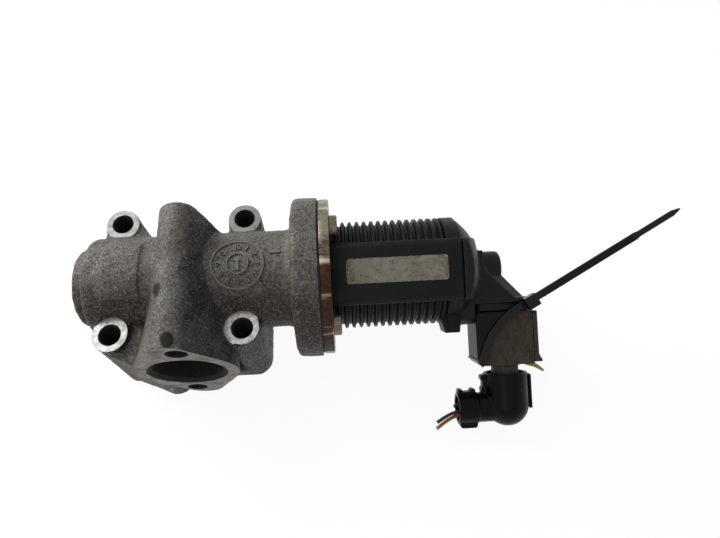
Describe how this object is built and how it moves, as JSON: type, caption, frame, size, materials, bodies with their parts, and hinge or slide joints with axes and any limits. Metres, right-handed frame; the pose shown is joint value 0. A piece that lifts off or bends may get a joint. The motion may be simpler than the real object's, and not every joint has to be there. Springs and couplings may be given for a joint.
{
  "type": "exhaust gas recirculation valve",
  "caption": "Solenoid-driven exhaust gas recirculation valve: cast gas passage with poppet and seat, ribbed coil housing, position sensor and plugged connector held by a cable tie.",
  "frame": {"origin": "centre of the four-hole pattern on the mounting face", "axes": "+Z out of the mounting face into the casting, +X along the valve stem towards the solenoid, -Y out of the inlet port"},
  "size_m": [0.2695, 0.1037, 0.073],
  "materials": {
    "casting": "weathered sand-cast aluminium",
    "steel_plate": "zinc-plated steel gone dull and rusty",
    "valve_steel": "machined heat-resistant steel",
    "magnet_steel": "soft magnetic steel, turned",
    "spring_steel": "drawn spring wire",
    "copper": "enamelled copper wire, wound",
    "bronze": "sintered bronze",
    "brass_tab": "stamped brass, dulled",
    "tinned_pins": "tinned brass",
    "black_plastic": "glass-filled nylon, satin",
    "bobbin_plastic": "moulded nylon",
    "sensor_plastic": "moulded plastic",
    "resistor": "resistive track on a ceramic strip",
    "plug_plastic": "moulded plastic under dried dust",
    "tie_plastic": "nylon cable tie",
    "label_film": "stained printed film, bare",
    "seal_rubber": "fluoroelastomer",
    "gasket_fibre": "graphite fibre sheet",
    "insulation_green": "wire insulation",
    "insulation_orange": "wire insulation",
    "insulation_yellow": "wire insulation",
    "insulation_brown": "wire insulation",
    "insulation_black": "wire insulation"
  },
  "bodies": {
    "casing": {"armature_sleeve": "valve_steel", "coil_bobbin": "bobbin_plastic", "coil_winding": "copper", "connector_pins": "tinned_pins", "elbow_cover": "black_plastic", "elbow_lock_strip": "black_plastic", "end_cover": "black_plastic", "end_plug": "steel_plate", "flange_gasket": "gasket_fibre", "flux_tube": "magnet_steel", "guide_bush": "bronze", "housing": "casting", "label": "label_film", "lock_spring": "brass_tab", "mounting_plate": "steel_plate", "plate_screws": "steel_plate", "plug_carrier": "sensor_plastic", "plug_housing": "plug_plastic", "plug_neck": "plug_plastic", "plug_rail": "plug_plastic", "pole_piece": "magnet_steel", "rear_yoke": "magnet_steel", "return_spring": "spring_steel", "sensor_carrier": "sensor_plastic", "sensor_spring": "spring_steel", "sensor_track": "resistor", "solenoid_shell": "black_plastic", "stem_seal": "seal_rubber", "tie_head": "tie_plastic", "tie_strap": "tie_plastic", "valve_seat_ring": "valve_steel", "wire_black": "insulation_black", "wire_brown": "insulation_brown", "wire_green": "insulation_green", "wire_orange": "insulation_orange", "wire_yellow": "insulation_yellow"},
    "valve": {"valve_disc": "valve_steel", "valve_stem": "valve_steel", "spring_retainer": "valve_steel", "armature": "magnet_steel"},
    "sensor": {"sensor_plunger": "sensor_plastic"}
  },
  "joints": [
    {"name": "valve_lift", "type": "slide", "parent": "casing", "child": "valve", "axis": [-1, 0, 0], "range_m": [0, 0.005], "stiffness_N_per_m": 3000, "springref_m": -0.004, "deforming": ["return_spring"]},
    {"name": "sensor_follow", "type": "slide", "parent": "casing", "child": "sensor", "axis": [-1, 0, 0], "range_m": [0, 0.005], "deforming": ["sensor_spring"]}
  ],
  "couplings": [
    {"joint": "sensor_follow", "follows": "valve_lift", "ratio": 1}
  ]
}
